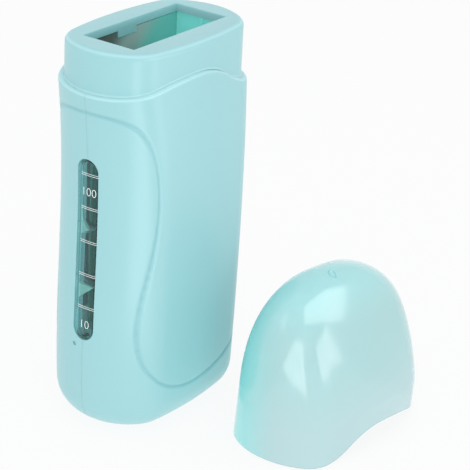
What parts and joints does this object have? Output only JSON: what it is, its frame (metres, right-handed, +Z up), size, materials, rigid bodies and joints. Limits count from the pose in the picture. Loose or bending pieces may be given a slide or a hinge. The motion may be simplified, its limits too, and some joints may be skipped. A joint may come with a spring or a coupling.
{
  "type": "roll on wax heater",
  "caption": "Upright wax cartridge heater with a bowed two-shell casing, open neck, side level window, heated chamber, mains inlet and a domed lift-off cap beside it.",
  "frame": {"origin": "middle of the flat underside of the base, on the table", "axes": "+Z up out of the cartridge opening, -X towards the level window, +X towards the mains inlet, -Y towards the front face and the cap"},
  "size_m": [0.1114, 0.1219, 0.156],
  "materials": {
    "casing_plastic": "satin moulded ABS, pale aqua",
    "chamber_plastic": "moulded heat-resistant plastic, teal",
    "window_plastic": "clear polycarbonate with printed lines",
    "indicator_plastic": "diffusing light pipe",
    "heater_aluminium": "bright rolled sheet",
    "ceramic": "fired ceramic",
    "insulator_film": "amber polyimide film",
    "spring_steel": "pressed strip",
    "screw_steel": "zinc plated",
    "fuse_metal": "drawn can",
    "board_laminate": "green solder mask",
    "inlet_plastic": "black moulded",
    "pin_brass": "nickel plated brass",
    "live_insulation": "brown wire insulation",
    "neutral_insulation": "blue wire insulation",
    "lead_insulation": "white wire insulation",
    "cap_plastic": "glossy translucent moulded plastic, pale aqua"
  },
  "bodies": {
    "heater": {"front_shell": "casing_plastic", "rear_shell": "casing_plastic", "neck_collar": "casing_plastic", "cartridge_chamber": "chamber_plastic", "window_frame": "chamber_plastic", "window_lens": "window_plastic", "indicator_lens": "indicator_plastic", "indicator_led": "indicator_plastic", "heater_plate": "heater_aluminium", "ptc_element": "ceramic", "ptc_insulator": "insulator_film", "ptc_clamp": "spring_steel", "clamp_screws": "screw_steel", "thermal_fuse": "fuse_metal", "fuse_clip": "spring_steel", "indicator_board": "board_laminate", "board_screws": "screw_steel", "board_resistor": "ceramic", "base_plate": "casing_plastic", "base_screws": "screw_steel", "inlet_housing": "inlet_plastic", "inlet_pins": "pin_brass", "live_wire": "live_insulation", "neutral_wire": "neutral_insulation", "fuse_lead": "lead_insulation", "indicator_leads": "lead_insulation"},
    "cap": {"cap": "cap_plastic"}
  },
  "joints": [
    {"name": "cap_lift", "type": "slide", "parent": "heater", "child": "cap", "axis": [0, 0, 1], "range_m": [0, 0.17]}
  ]
}
